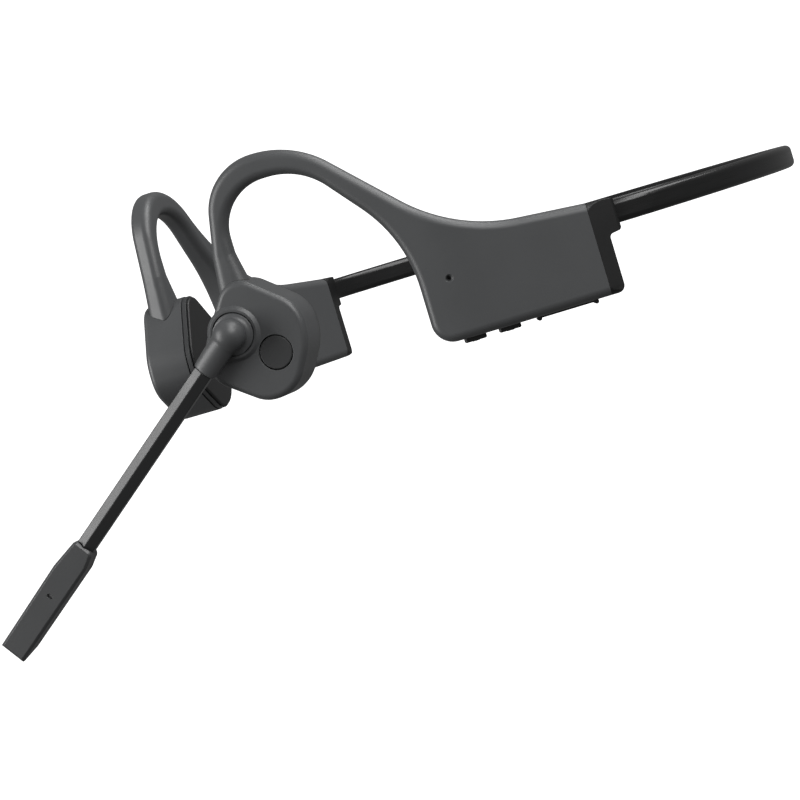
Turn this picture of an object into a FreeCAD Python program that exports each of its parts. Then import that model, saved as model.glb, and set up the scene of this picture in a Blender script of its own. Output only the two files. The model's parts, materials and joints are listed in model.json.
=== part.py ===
"""Bone conduction headset with a boom microphone, worn over both ears.

Frame: X forward, Y to the wearer's left, Z up, square to the plane of the neckband.
The origin lies on the neckband's plane, midway between the two contact pads. Millimetres.

Local frames, each turned into place at the end:
  arm frame   x forward along the ear arm, y out of the head, z up, from the arm's rear end
  pod frame   x forward along the sound pod, y out of the pod's face, z up, from its centre
  boom frame  x along the boom, y as in the pod frame, from the boom's pivot
"""
import FreeCAD
import Part
import math
import os

V = FreeCAD.Vector
X, Y, Z = V(1, 0, 0), V(0, 1, 0), V(0, 0, 1)
ORIGIN = V(0, 0, 0)

# ---- overall layout ----
BAND_RADIUS = 65.5          # neckband centre line: a half circle behind the head
BAND_BEND = 17.0            # bend that joins the half circle to each arm
TOE_IN = 28.3               # each case's turn towards the face, degrees
POD_TURN = 45.0             # each hook's and sound pod's turn, so the pod faces half forward

# ---- neckband ----
BAND_HEIGHT = 4.7
BAND_WIDTH = 3.6
BAND_EDGE = 1.2             # rounding of the sleeve's edges
BAND_WIRE_R = 0.75
CORE_R = 0.35               # cable cores, above and below the wire
CORE_RISE = 1.45

# ---- ear arm, side view ----
CASE_LENGTH = 41.2          # battery or control case, from the arm's rear end to its front edge
CASE_DROP = 15.5            # below the neckband's centre line
CASE_TOP = 3.3              # above it, at the rear cap
CASE_CORNER = 4.2
CAP_LENGTH = 5.7            # black rear cap
CAP_NECK = 2.7              # the part of it that stands out around the neckband
CAP_STEP_Z = -4.0           # underside of that neck
HOOK_TOP = 31.7
HOOK_THICK = 5.3
HOOK_RUN = 16.1             # from the case's front edge to the start of the hook's crest
HOOK_SPAN = 33.2            # from the case's front edge to the hook's front leg
HOOK_BEND_REAR = 20.0       # outer radii at the crest
HOOK_BEND_FRONT = 11.6
GAP_BEND_REAR = 14.0        # inner radii at the crest
GAP_BEND_FRONT = 9.5
ARM_RISE_BACK = 9.8         # the top edge bends up this far behind the case's front edge
ARM_RISE_Z = 5.5
ARM_RISE_R = 33.7
UNDER_RISE_Z = 6.9          # the case's front edge bends into the hook's underside here
UNDER_RISE_R = 29.0
LEG_FOOT = 5.8              # front leg's width at its foot
LEG_CREST = 1.2             # how far the leg's outer line leans out at the crest
FOOT_Z = 8.0                # the leg stands on the sound pod here
FLARE_RISE = 6.0            # height of the leg's flared foot
FLARE_SINK = 5.0            # it reaches this far into the sound pod's outline
FLARE_WIDE = 8.0
FLARE_THICK = 7.4

# ---- ear arm, plan view ----
CASE_THICK = 9.5
HOOK_WIDE = 5.0
PLAN_BEND_X = 40.0          # the arm's centre line bends here, from the case to the hook
PLAN_BEND_R = 35.0
CAP_END_THICK = 6.4
EDGE_R = 1.8
WALL = 1.4
BAND_END = 0.5              # the neckband's end stands this far inside the cap's hollow
FRONT_WALL = 2.5
TONGUE_WALL = 0.9
TONGUE_REACH = 1.6
SLIP = 0.1                  # clearance between parts that slide together
FIT = 0.03                  # clearance around a wire

# ---- inside the hook ----
HOOK_WIRE_R = 0.8
LEAD_R = 0.45
WIRE_ASIDE = 0.85           # wire and lead lie this far each side of the hook's middle
LEAD_END = 2.6              # they reach this far into the case's hollow

# ---- electronics ----
BOARD_THICK = 0.8
BOARD_Y = -2.4              # inner face of the control board
BOARD_START = 2.0           # in front of the rear cap
BOARD_END_GAP = 1.2
BOARD_TOP = 0.4
BOARD_ABOVE_KEY = 0.35      # clear above a pressed key
SCREW_R = 0.5
SCREW_HEAD_R = 0.95
SCREW_HEAD = 0.5
MIC_HOLE_R = 0.45
MIC_HOLE_BACK = 5.8         # behind the case's front edge
MIC_HOLE_Z = -3.1
MIC_COVER = 0.75            # least wall in front of the microphone
MIC_REAR, MIC_FRONT = 1.5, 1.0
MIC_HALF = 1.3
MIC_THICK = 1.1
DIMPLE_DEEP = 0.45
KEY_LONG = 4.5
KEY_WIDE = 3.2
KEY_PROUD = 0.9
KEY_TRAVEL = 0.35
KEY_PITCH = 7.1
KEY_FRONT = 7.6             # first key's centre, behind the case's front edge
KEY_FLANGE = 0.35           # its flange stands out this far all round
KEY_FLANGE_THICK = 0.5
KEY_GAP = 0.15
SOCKET_LONG = 8.94
SOCKET_WIDE = 3.16
SOCKET_DEEP = 6.5
SOCKET_WALL = 0.3
SOCKET_CORNER = 1.2
SOCKET_X = 14.6
TONGUE_LONG = 6.6
TONGUE_THICK = 0.7
TONGUE_SET_BACK = 1.2
FLAP_LONG = 12.6
FLAP_WIDE = 4.6
FLAP_THICK = 1.0            # depth of its recess
FLAP_PROUD = 0.35           # the strip stands this far below the case
FLAP_LIP = 0.45
FLAP_GAP = 0.15             # clear above the strip, so that it can swing
PLUG_RISE = 0.7             # the flap's plug enters the socket this far
PLUG_GAP = 0.25
RADIO_AHEAD = 9.5           # in front of the socket's middle
RADIO_LONG = 8.0
RADIO_HIGH = 7.6
RADIO_THICK = 1.5
RADIO_Z = -0.6              # its top edge
BATTERY_LONG = 24.0
BATTERY_HIGH = 12.6
BATTERY_THICK = 5.2
BATTERY_TAB = 0.4           # gap between the cell and its board, which the tabs bridge

# ---- sound pod ----
POD_THICK = 9.0             # housing
FOOT_AHEAD = 2.5            # the hook stands this far ahead of the pod's centre
POD_FRONT = 10.6
POD_REAR = 11.4
POD_BASE = 16.4
POD_PEAK = 10.7
POD_EDGE_R = 1.3
RIM_THICK = 0.9
RIM_GROOVE = 0.2
RIM_WIDE = 2.3              # the rim frame, from the pod's outline inwards
PAD_PROUD = 0.6             # pad beyond the rim
PAD_EDGE = 0.35
PAD_SEAM = 0.12
DRIVER_X, DRIVER_Z = -0.6, -4.2
CUP_R = 6.4
CUP_WALL = 0.9
CUP_DEEP = 3.0
COIL_R = 5.0
COIL_WALL = 0.8
MAGNET_R = 3.7
SPRING_R = 7.6
SPRING_Y = 0.1              # its inner face, from the pod's middle
SPRING_THICK = 0.25
SPRING_SLOT = 0.7
BUTTON_X, BUTTON_Z = -4.1, -7.4
BUTTON_R = 3.4
BUTTON_GAP = 0.18
BUTTON_TRAVEL = 0.35
BUTTON_FLANGE = 0.45
SWITCH_WIDE = 3.2
SWITCH_STEM = 0.35
BUTTON_FLANGE_THICK = 0.6

# ---- boom ----
PIVOT_X, PIVOT_Z = 3.2, -1.5
BOOM_DIP = 37.7             # degrees below level at rest
COLLAR_R = 5.6
COLLAR_TOP_R = 4.95
COLLAR_RISE = 0.75
HUB_R = 4.3
HUB_GAP = 0.12
SHAFT_R = 2.2
SHAFT_CLEAR = 0.05
DOME_R = 3.3
DOME_RISE = 3.2             # dome centre above the pod's face
ARM_LENGTH = 9.2
ARM_R = 2.8
ARM_END_R = 1.68
STEM_ACROSS = 3.0
STEM_INSET = 2.5
STEM_CORE_R = 0.5
HEAD_START = 53.3           # from the pivot
HEAD_END = 81.0
HEAD_WIDE = 6.0
HEAD_NECK = 4.5
HEAD_TAPER = 7.0
HEAD_THICK = 4.6
HEAD_WALL = 0.8
HEAD_BEVEL = 0.5
HEAD_HOLE = 66.0
HOLE_R = 0.42
HOLE_HALF = 0.25            # half the length of its straight sides
HEAD_BACK = 1.3             # the back half's share of the thickness
MESH_THICK = 0.1
CAPSULE_R = 2.0
CAPSULE_THICK = 1.7
HEAD_CUT = 4.0              # the end is cut back this far on the inner side

# ---- worked out ----
FACE = POD_THICK / 2
PAD_FACE = FACE + RIM_GROOVE + RIM_THICK + PAD_PROUD
LEG = CASE_LENGTH + HOOK_SPAN
LEG_MIDDLE = LEG + LEG_FOOT / 2
CREST = CASE_LENGTH + HOOK_RUN
toe = math.radians(TOE_IN)
turn = math.radians(POD_TURN)
hook_turn = turn - toe
# The hook's leg lies this far inwards of the case's middle plane.
LEG_INWARD = (LEG_MIDDLE - PLAN_BEND_X) * math.tan(hook_turn)
# The neckband leaves the arm along its direction, bends by BAND_BEND and turns round the head.
ARM_REAR_Y = BAND_RADIUS - BAND_BEND * (1 - math.cos(toe))
# The pads' middle is at X = 0, and the hook's foot stands on the pod.
POD_X = PAD_FACE * math.sin(turn)
ARM_REAR_X = POD_X + FOOT_AHEAD * math.cos(turn) - LEG_MIDDLE * math.cos(toe) + LEG_INWARD * math.sin(toe)
POD_Y = ARM_REAR_Y - LEG_MIDDLE * math.sin(toe) - LEG_INWARD * math.cos(toe) + FOOT_AHEAD * math.sin(turn)


# ---------------------------------------------------------------- shapes

def block(x0, x1, y0, y1, z0, z1):
    return Part.makeBox(x1 - x0, y1 - y0, z1 - z0, V(x0, y0, z0))


def rounded_outline(corners):
    """Closed wire in the XZ plane. Each corner is (x, z, radius), with straight sides between."""
    spans = []
    for i, (x, z, radius) in enumerate(corners):
        point = V(x, 0, z)
        before, after = corners[i - 1], corners[(i + 1) % len(corners)]
        back = (V(before[0], 0, before[1]) - point).normalize()
        on = (V(after[0], 0, after[1]) - point).normalize()
        if radius == 0:
            spans.append((point, None, point))
            continue
        half = back.getAngle(on) / 2
        reach = radius / math.tan(half)
        middle = point + (back + on).normalize() * (radius / math.sin(half) - radius)
        spans.append((point + back * reach, middle, point + on * reach))
    edges = []
    for (start, middle, end), (following, _, _) in zip(spans, spans[1:] + spans[:1]):
        if middle is not None:
            edges.append(Part.Arc(start, middle, end).toShape())
        if end.distanceToPoint(following) > 1e-6:
            edges.append(Part.LineSegment(end, following).toShape())
    return Part.Wire(edges)


def slab(wire, y0, y1):
    """Solid between two planes across Y, from an outline in the XZ plane."""
    solid = Part.Face(wire).extrude(V(0, y1 - y0, 0))
    solid.translate(V(0, y0, 0))
    return solid


def inset(wire, amount):
    return wire.makeOffset2D(-amount)


def disc(radius, y0, y1, x=0.0, z=0.0):
    return Part.makeCylinder(radius, y1 - y0, V(x, y0, z), Y)


def ring(outer, inner, y0, y1, x=0.0, z=0.0):
    return disc(outer, y0, y1, x, z).cut(disc(inner, y0, y1, x, z))


def rounded_bar(x0, x1, y0, y1, z0, z1, radius):
    """Block whose four long edges along X are rounded."""
    bar = block(x0, x1, y0, y1, z0, z1)
    long_edges = [e for e in bar.Edges if e.BoundBox.XLength > (x1 - x0) / 2]
    return bar.makeFillet(radius, long_edges)


def tube(path, section_radius):
    """Round solid along a wire of lines and tangent arcs."""
    start = path.Edges[0]
    at = start.valueAt(start.FirstParameter)
    along = start.tangentAt(start.FirstParameter)
    section = Part.Wire(Part.makeCircle(section_radius, at, along))
    return path.makePipeShell([section], True, False)


def open_route(points):
    """Open wire through points (x, z, radius) in the XZ plane, with tangent arcs at the inner points."""
    edges = []
    last = V(points[0][0], 0, points[0][1])
    for before, (x, z, radius), after in zip(points, points[1:], points[2:]):
        point = V(x, 0, z)
        back = (V(before[0], 0, before[1]) - point).normalize()
        on = (V(after[0], 0, after[1]) - point).normalize()
        half = back.getAngle(on) / 2
        reach = radius / math.tan(half)
        start, end = point + back * reach, point + on * reach
        middle = point + (back + on).normalize() * (radius / math.sin(half) - radius)
        edges.append(Part.LineSegment(last, start).toShape())
        edges.append(Part.Arc(start, middle, end).toShape())
        last = end
    edges.append(Part.LineSegment(last, V(points[-1][0], 0, points[-1][1])).toShape())
    return Part.Wire(edges)


# ---------------------------------------------------------------- placing

def place_arm(shape, side):
    placed = shape.copy()
    placed.rotate(ORIGIN, Z, -TOE_IN)
    placed.translate(V(ARM_REAR_X, ARM_REAR_Y, 0))
    return placed if side > 0 else placed.mirror(ORIGIN, Y)


def place_pod(shape, side):
    placed = shape.copy()
    placed.rotate(ORIGIN, Z, -POD_TURN)
    placed.translate(V(POD_X, POD_Y, 0))
    return placed if side > 0 else placed.mirror(ORIGIN, Y)


def place_boom(shape):
    placed = shape.copy()
    placed.rotate(ORIGIN, Y, BOOM_DIP)
    placed.translate(V(PIVOT_X, 0, PIVOT_Z))
    return place_pod(placed, 1)


def pod_in_arm(shape):
    """A left pod shape, seen from the left arm's frame."""
    placed = place_pod(shape, 1)
    placed.translate(V(-ARM_REAR_X, -ARM_REAR_Y, 0))
    placed.rotate(ORIGIN, Z, TOE_IN)
    return placed


# ---------------------------------------------------------------- neckband

def band_path():
    """Centre line of the neckband, with a straight end inside each rear cap's hollow."""
    along = V(-math.cos(toe), math.sin(toe), 0)
    out = V(math.sin(toe), math.cos(toe), 0)
    start = V(ARM_REAR_X, ARM_REAR_Y, 0)
    centre = start - out * BAND_BEND
    half_way = centre + V(math.sin(toe / 2), math.cos(toe / 2), 0) * BAND_BEND
    joint = centre + Y * BAND_BEND
    back = V(joint.x - BAND_RADIUS, 0, 0)

    def other(point):
        return V(point.x, -point.y, point.z)

    inside = start - along * (CAP_NECK + WALL + BAND_END)
    return Part.Wire([
        Part.LineSegment(inside, start).toShape(),
        Part.Arc(start, half_way, joint).toShape(),
        Part.Arc(joint, back, other(joint)).toShape(),
        Part.Arc(other(joint), other(half_way), other(start)).toShape(),
        Part.LineSegment(other(start), other(inside)).toShape(),
    ])


def arm_in_pod(shape):
    """Move a shape from the arm frame to the pod frame."""
    moved = shape.copy()
    moved.rotate(ORIGIN, Z, -TOE_IN)
    moved.translate(V(ARM_REAR_X - POD_X, ARM_REAR_Y - POD_Y, 0))
    moved.rotate(ORIGIN, Z, POD_TURN)
    return moved


def swept_band(path, section):
    """Sweep an outline of the YZ plane along the neckband; the section stays upright."""
    face = section.copy()
    start = path.Edges[0].valueAt(path.Edges[0].FirstParameter)
    face.rotate(ORIGIN, Z, -TOE_IN)
    face.translate(start)
    return path.makePipeShell([face], True, False)


def band_section():
    half_w, half_h = BAND_WIDTH / 2, BAND_HEIGHT / 2
    bar = rounded_bar(0, 1, -half_w, half_w, -half_h, half_h, BAND_EDGE)
    end = min(bar.Faces, key=lambda f: f.CenterOfMass.x)
    return end.OuterWire


def circle_section(radius, z):
    return Part.Wire(Part.makeCircle(radius, V(0, 0, z), X))


def make_neckband():
    path = band_path()
    sleeve = swept_band(path, band_section())
    wire = swept_band(path, circle_section(BAND_WIRE_R, 0))
    cores = [swept_band(path, circle_section(CORE_R, z)) for z in (-CORE_RISE, CORE_RISE)]
    bores = [swept_band(path, circle_section(BAND_WIRE_R + FIT, 0))]
    bores += [swept_band(path, circle_section(CORE_R + FIT, z)) for z in (-CORE_RISE, CORE_RISE)]
    for bore in bores:
        sleeve = sleeve.cut(bore)
    return {"neckband_sleeve": sleeve, "neckband_wire": wire, "neckband_cable_cores": Part.Compound(cores)}


# ---------------------------------------------------------------- ear arm

def arm_side_outline():
    return rounded_outline([
        (CAP_LENGTH, -CASE_DROP, 0),
        (CASE_LENGTH, -CASE_DROP, CASE_CORNER),
        (CASE_LENGTH, UNDER_RISE_Z, UNDER_RISE_R),
        (CREST, HOOK_TOP - HOOK_THICK, GAP_BEND_REAR),
        (LEG, HOOK_TOP - HOOK_THICK, GAP_BEND_FRONT),
        (LEG, FOOT_Z, 0),
        (LEG + LEG_FOOT, FOOT_Z, 0),
        (LEG + LEG_CREST, HOOK_TOP, HOOK_BEND_FRONT),
        (CREST, HOOK_TOP, HOOK_BEND_REAR),
        (CASE_LENGTH - ARM_RISE_BACK, ARM_RISE_Z, ARM_RISE_R),
        (CAP_LENGTH, CASE_TOP, 0),
    ])


def arm_plan_outline():
    """Outline from above, drawn in the XZ plane with z inwards: the thinner hook bends in from the case."""
    case, hook = CASE_THICK / 2, HOOK_WIDE / 2 / math.cos(hook_turn)
    slope = math.tan(hook_turn)
    step = (case - hook) / slope
    far = LEG + LEG_FOOT * 2
    inwards = (far - PLAN_BEND_X) * slope
    return rounded_outline([
        (CAP_LENGTH, -case, 0), (PLAN_BEND_X - step, -case, PLAN_BEND_R), (far, inwards - hook, 0),
        (far, inwards + hook, 0), (PLAN_BEND_X + step, case, PLAN_BEND_R), (CAP_LENGTH, case, 0),
    ])


def plan_solid(outline, low, high):
    """Upright solid whose outline from above was drawn in the XZ plane."""
    solid = slab(outline, low, high)
    solid.rotate(ORIGIN, X, 90)
    return solid


def arm_solid():
    """The hook and the case in one, rounded, with a flared foot at the end of the hook's leg."""
    wide = LEG_INWARD * 2
    raw = slab(arm_side_outline(), -wide, wide)
    raw = raw.common(plan_solid(arm_plan_outline(), -HOOK_TOP * 2, HOOK_TOP * 2)).Solids[0]
    along = []
    for edge in raw.Edges:
        box = edge.BoundBox
        at_cap = box.XMax < CAP_LENGTH + 0.01
        at_foot = box.XMin > LEG - 1 and box.ZMax < FOOT_Z + 0.01
        across = box.YLength > HOOK_WIDE - 0.1 and box.XLength < 0.1
        if not (at_cap or at_foot or across):
            along.append(edge)
    smooth = raw.makeFillet(EDGE_R, along)
    top = FOOT_Z + FLARE_RISE
    below = block(LEG - 3, LEG + LEG_FOOT * 2, -wide, wide, FOOT_Z - 1, top)
    leg = smooth.common(below)
    arm = smooth.cut(below)
    section = max((f for f in leg.Faces if abs(f.CenterOfMass.z - top) < 0.01), key=lambda f: f.Area)
    middle = flared_foot(section, FOOT_Z + FLARE_RISE / 2, 0.25)
    lowest = flared_foot(section, FOOT_Z - FLARE_SINK, 1.0)
    foot = Part.makeLoft([lowest, middle, section.OuterWire], True, False)
    return arm.fuse(foot).removeSplitter()


def flared_foot(section, z, share):
    """Outline across the hook's foot at height z, with that share of its flare, which is all at the rear."""
    box = section.BoundBox
    wide = box.XLength + (FLARE_WIDE - box.XLength) * share
    thick = box.YLength + (FLARE_THICK - box.YLength) * share
    front = box.XMax + (LEG + LEG_FOOT - box.XMax) * share
    grow = FreeCAD.Matrix()
    grow.scale(wide / box.XLength, thick / box.YLength, 1)
    wire = section.OuterWire.copy()
    wire.translate(V(-box.Center.x, -box.Center.y, -section.CenterOfMass.z))
    wire = wire.transformGeometry(grow)
    middle = front - wide / 2
    wire.translate(V(middle, -(middle - PLAN_BEND_X) * math.tan(hook_turn), z))
    return Part.Wire(Part.sortEdges(wire.Edges)[0])


def case_cavity(clear=0.0, x0=CAP_LENGTH, x1=None):
    """The hollow that holds the electronics, open at the rear."""
    half = CASE_THICK / 2 - WALL - clear
    end = CASE_LENGTH - FRONT_WALL if x1 is None else x1
    return rounded_bar(x0, end, -half, half, WALL - CASE_DROP + clear, CASE_TOP - WALL - clear, 1.0)


def arm_cavity():
    """The case's hollow, with its outer side kept WALL inside the face where the arm bends in."""
    plan = plan_solid(arm_plan_outline(), -HOOK_TOP, HOOK_TOP)
    plan.translate(V(0, -WALL, 0))
    return case_cavity().common(plan)


def case_face(x):
    """The outer face's distance from the case's middle plane, which shrinks as the arm bends in."""
    step = (CASE_THICK / 2 - HOOK_WIDE / 2 / math.cos(hook_turn)) / math.tan(hook_turn)
    past = max(0, x - PLAN_BEND_X + step + PLAN_BEND_R * math.tan(hook_turn / 2))
    return CASE_THICK / 2 - PLAN_BEND_R + math.sqrt(PLAN_BEND_R ** 2 - past ** 2)


def hook_route():
    """Centre line of the hook in its own plane, from inside the case to inside the sound pod."""
    middle = HOOK_TOP - HOOK_THICK / 2

    def along(x):
        return (x - PLAN_BEND_X) / math.cos(hook_turn)

    return open_route([
        (along(CASE_LENGTH - FRONT_WALL - LEAD_END), CASE_TOP - WALL - 0.5, 0),
        (along(CREST), middle, (HOOK_BEND_REAR + GAP_BEND_REAR) / 2),
        (along(LEG) + HOOK_THICK / 2 - 0.5, middle, (HOOK_BEND_FRONT + GAP_BEND_FRONT) / 2),
        (along(LEG_MIDDLE), FOOT_Z - 3.5, 0),
    ])


def hook_line(radius, aside):
    line = tube(hook_route(), radius)
    line.translate(V(0, aside, 0))
    line.rotate(ORIGIN, Z, -math.degrees(hook_turn))
    line.translate(V(PLAN_BEND_X, 0, 0))
    return line


def hook_channel():
    """Room for the spring wire and the lead, side by side through the hook."""
    return hook_line(HOOK_WIRE_R + FIT, -WIRE_ASIDE).fuse(hook_line(LEAD_R + FIT, WIRE_ASIDE))


def cap_outline():
    return rounded_outline([
        (CAP_LENGTH, -CASE_DROP, 0), (CAP_NECK, -CASE_DROP, 1.6), (CAP_NECK, CAP_STEP_Z, 0.8),
        (0.0, CAP_STEP_Z + 0.4, 0.8), (0.0, CASE_TOP - 0.4, 0.8), (CAP_LENGTH, CASE_TOP, 0),
    ])


def make_cap(band):
    """Black cap: rounded as the case is, thinner at its rear, with a tongue that plugs into the case."""
    half, end = CASE_THICK / 2, CAP_END_THICK / 2
    cap = slab(cap_outline(), -half, half)
    cap = cap.common(rounded_bar(-1, CAP_LENGTH, -half, half, -CASE_DROP, CASE_TOP, EDGE_R))
    plan = rounded_outline([(0, -end, 1), (CAP_LENGTH, -half, 0), (CAP_LENGTH, half, 0), (0, end, 1)])
    cap = cap.common(plan_solid(plan, -HOOK_TOP, HOOK_TOP))
    tongue = case_cavity(SLIP, CAP_LENGTH - 0.5, CAP_LENGTH + TONGUE_REACH)
    hollow = case_cavity(SLIP + TONGUE_WALL, CAP_NECK + WALL, CAP_LENGTH + TONGUE_REACH)
    return cap.fuse(tongue).cut(hollow).cut(band).removeSplitter()


def make_arm(band):
    """Parts of an ear arm that both sides have."""
    shell = arm_solid().cut(arm_cavity()).cut(hook_channel()).cut(pod_in_arm(pod_envelope()))
    return {
        "arm_shell": shell.removeSplitter(),
        "rear_cap": make_cap(band),
        "hook_wire": hook_line(HOOK_WIRE_R, -WIRE_ASIDE),
        "hook_lead": hook_line(LEAD_R, WIRE_ASIDE),
    }


# ---------------------------------------------------------------- inside the left case

def case_floor():
    return WALL - CASE_DROP


def key_positions():
    return [CASE_LENGTH - KEY_FRONT - KEY_PITCH * i for i in range(2)]


def key_solid(x):
    """Volume key: it stands out below the case, with a flange that keeps it in."""
    floor = case_floor()
    long, wide = KEY_LONG / 2, KEY_WIDE / 2
    stem = block(x - long, x + long, -wide, wide, -CASE_DROP - KEY_PROUD, floor + 0.1)
    upright = [e for e in stem.Edges if e.BoundBox.ZLength > WALL]
    stem = stem.makeFillet(0.6, upright)
    rim = [e for e in stem.Edges if e.BoundBox.ZMax < -CASE_DROP - KEY_PROUD + 0.01]
    stem = stem.makeChamfer(0.2, rim)
    flange = block(x - long - KEY_FLANGE, x + long + KEY_FLANGE, -wide - KEY_FLANGE, wide + KEY_FLANGE,
                   floor + 0.05, floor + KEY_FLANGE_THICK)
    return stem.fuse(flange).removeSplitter()


def key_slot(x):
    long, wide = KEY_LONG / 2 + KEY_GAP, KEY_WIDE / 2 + KEY_GAP
    return block(x - long, x + long, -wide, wide, -CASE_DROP - 1, case_floor() + 0.5)


def control_board():
    x0, x1 = CAP_LENGTH + BOARD_START, CASE_LENGTH - FRONT_WALL - BOARD_END_GAP
    low = case_floor() + KEY_FLANGE_THICK + KEY_TRAVEL + BOARD_ABOVE_KEY
    board = block(x0, x1, BOARD_Y, BOARD_Y + BOARD_THICK, low, BOARD_TOP)
    for x, z in board_screw_places():
        board = board.cut(disc(SCREW_R + FIT, BOARD_Y - 1, BOARD_Y + 2, x, z))
    return board


def board_screw_places():
    return [(CAP_LENGTH + BOARD_START + 2.2, -3.0), (CASE_LENGTH - FRONT_WALL - BOARD_END_GAP - 2.2, -7.5)]


def board_screw(x, z):
    top = BOARD_Y + BOARD_THICK
    shank = disc(SCREW_R, BOARD_Y - 1.7, top, x, z)
    head = disc(SCREW_HEAD_R, top, top + SCREW_HEAD, x, z)
    slot = block(x - SCREW_HEAD_R, x + SCREW_HEAD_R, top + 0.3, top + 1, z - 0.12, z + 0.12)
    return shank.fuse(head).cut(slot)


def volume_switch(x):
    """Side-press switch on the control board, above its key."""
    low = case_floor() + KEY_FLANGE_THICK + KEY_TRAVEL + 0.1
    top = BOARD_Y + BOARD_THICK
    body = block(x - 1.9, x + 1.9, top, top + 2.2, low + 0.5, low + 2.3)
    return body.fuse(block(x - 0.7, x + 0.7, top + 0.6, top + 1.6, low, low + 0.5)).removeSplitter()


def socket_floor():
    return -CASE_DROP + FLAP_THICK


def upright_edges(solid, longer_than):
    return [e for e in solid.Edges if e.BoundBox.ZLength > longer_than]


def rounded_port(grow, corner, z0, z1):
    """Upright block of the socket's outline, grown or shrunk, with rounded corners."""
    long, wide = SOCKET_LONG / 2 + grow, SOCKET_WIDE / 2 + grow
    port = block(SOCKET_X - long, SOCKET_X + long, -wide, wide, z0, z1)
    return port.makeFillet(corner, upright_edges(port, (z1 - z0) / 2))


def charging_socket():
    """Charging receptacle: a metal shell open at the bottom, with its contact tongue."""
    low = socket_floor() + 0.05
    top = low + SOCKET_DEEP
    shell = rounded_port(0, SOCKET_CORNER, low, top)
    inner = rounded_port(-SOCKET_WALL, SOCKET_CORNER - SOCKET_WALL, low - 1, top - SOCKET_WALL)
    half_long, half_thick = TONGUE_LONG / 2, TONGUE_THICK / 2
    tongue = block(SOCKET_X - half_long, SOCKET_X + half_long, -half_thick, half_thick,
                   low + TONGUE_SET_BACK, top - SOCKET_WALL)
    return shell.cut(inner).fuse(tongue)


def socket_hole():
    return rounded_port(SLIP, SOCKET_CORNER + SLIP, -CASE_DROP, case_floor() + 0.5)


def flap_recess():
    long, wide = FLAP_LONG / 2 + KEY_GAP, FLAP_WIDE / 2 + KEY_GAP
    return block(SOCKET_X - long, SOCKET_X + long, -wide, wide, -CASE_DROP - 1, socket_floor())


def flap_axis():
    """The flap's living hinge, at its rear lip: (x, z) in the arm frame."""
    return SOCKET_X - FLAP_LONG / 2 + FLAP_LIP, -CASE_DROP - FLAP_LIP * 0.8


def charging_flap():
    """Rubber cover: a strip in the recess with a lip at each end and a plug that enters the socket."""
    x0, x1, wide = SOCKET_X - FLAP_LONG / 2, SOCKET_X + FLAP_LONG / 2, FLAP_WIDE / 2
    strip = block(x0, x1, -wide, wide, -CASE_DROP - FLAP_PROUD, socket_floor() - FLAP_GAP)
    strip = strip.makeFillet(0.5, upright_edges(strip, FLAP_THICK / 2))
    inside = SOCKET_WALL + PLUG_GAP
    plug = rounded_port(-inside, SOCKET_CORNER - inside, -CASE_DROP, socket_floor() + PLUG_RISE)
    flap = strip.fuse(plug)
    axis_x, axis_z = flap_axis()
    for x in (axis_x, x1 - FLAP_LIP):
        flap = flap.fuse(disc(FLAP_LIP, -wide, wide, x, axis_z))
    return flap.removeSplitter()


def microphone_room(clear, y0):
    """Box of the microphone, seated on the case's outer wall."""
    x = CASE_LENGTH - MIC_HOLE_BACK
    seat = case_face(x + MIC_FRONT) - MIC_COVER
    return block(x - MIC_REAR - clear, x + MIC_FRONT + clear, y0 if clear else seat - MIC_THICK, seat,
                 MIC_HOLE_Z - MIC_HALF - clear, MIC_HOLE_Z + MIC_HALF + clear)


def pod_microphone():
    """Noise pick-up microphone behind the small hole in the case's outer wall."""
    x = CASE_LENGTH - MIC_HOLE_BACK
    can = microphone_room(0, 0)
    port = disc(MIC_HOLE_R / 2, case_face(x + MIC_FRONT) - MIC_COVER - 0.6, CASE_THICK, x, MIC_HOLE_Z)
    return can.cut(port)


def microphone_hole():
    """Sound hole with its dimple, and the pocket that the microphone sits in."""
    x = CASE_LENGTH - MIC_HOLE_BACK
    face = case_face(x)
    deepest = V(x, face - DIMPLE_DEEP, MIC_HOLE_Z)
    dimple = Part.makeCone(MIC_HOLE_R, MIC_HOLE_R * 2.2, DIMPLE_DEEP + 0.3, deepest, Y)
    hole = disc(MIC_HOLE_R, 0, face + 1, x, MIC_HOLE_Z)
    return hole.fuse(dimple).fuse(microphone_room(SLIP, 0))


def make_control_side(shell):
    """Left case: control board, keys, socket and pod microphone. Returns the shell with its openings."""
    inner_wall = WALL - CASE_THICK / 2
    for x, z in board_screw_places():
        shell = shell.fuse(disc(1.3, inner_wall - 0.2, BOARD_Y, x, z))
        shell = shell.cut(disc(SCREW_R, inner_wall - 0.8, BOARD_Y + 1, x, z))
    openings = [key_slot(x) for x in key_positions()] + [flap_recess(), socket_hole(), microphone_hole()]
    for opening in openings:
        shell = shell.cut(opening)
    board = control_board()
    top = BOARD_Y + BOARD_THICK
    radio_x = SOCKET_X + RADIO_AHEAD
    up, down = key_positions()
    return shell, {
        "control_board": board,
        "radio_module": block(radio_x, radio_x + RADIO_LONG, top, top + RADIO_THICK,
                              RADIO_Z - RADIO_HIGH, RADIO_Z),
        "volume_switches": Part.Compound([volume_switch(x) for x in (up, down)]),
        "board_screws": Part.Compound([board_screw(x, z) for x, z in board_screw_places()]),
        "charging_socket": charging_socket(),
        "case_microphone": pod_microphone(),
        "volume_up_button": key_solid(up),
        "volume_down_button": key_solid(down),
        "charging_flap": charging_flap(),
    }


# ---------------------------------------------------------------- inside the right case

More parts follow.
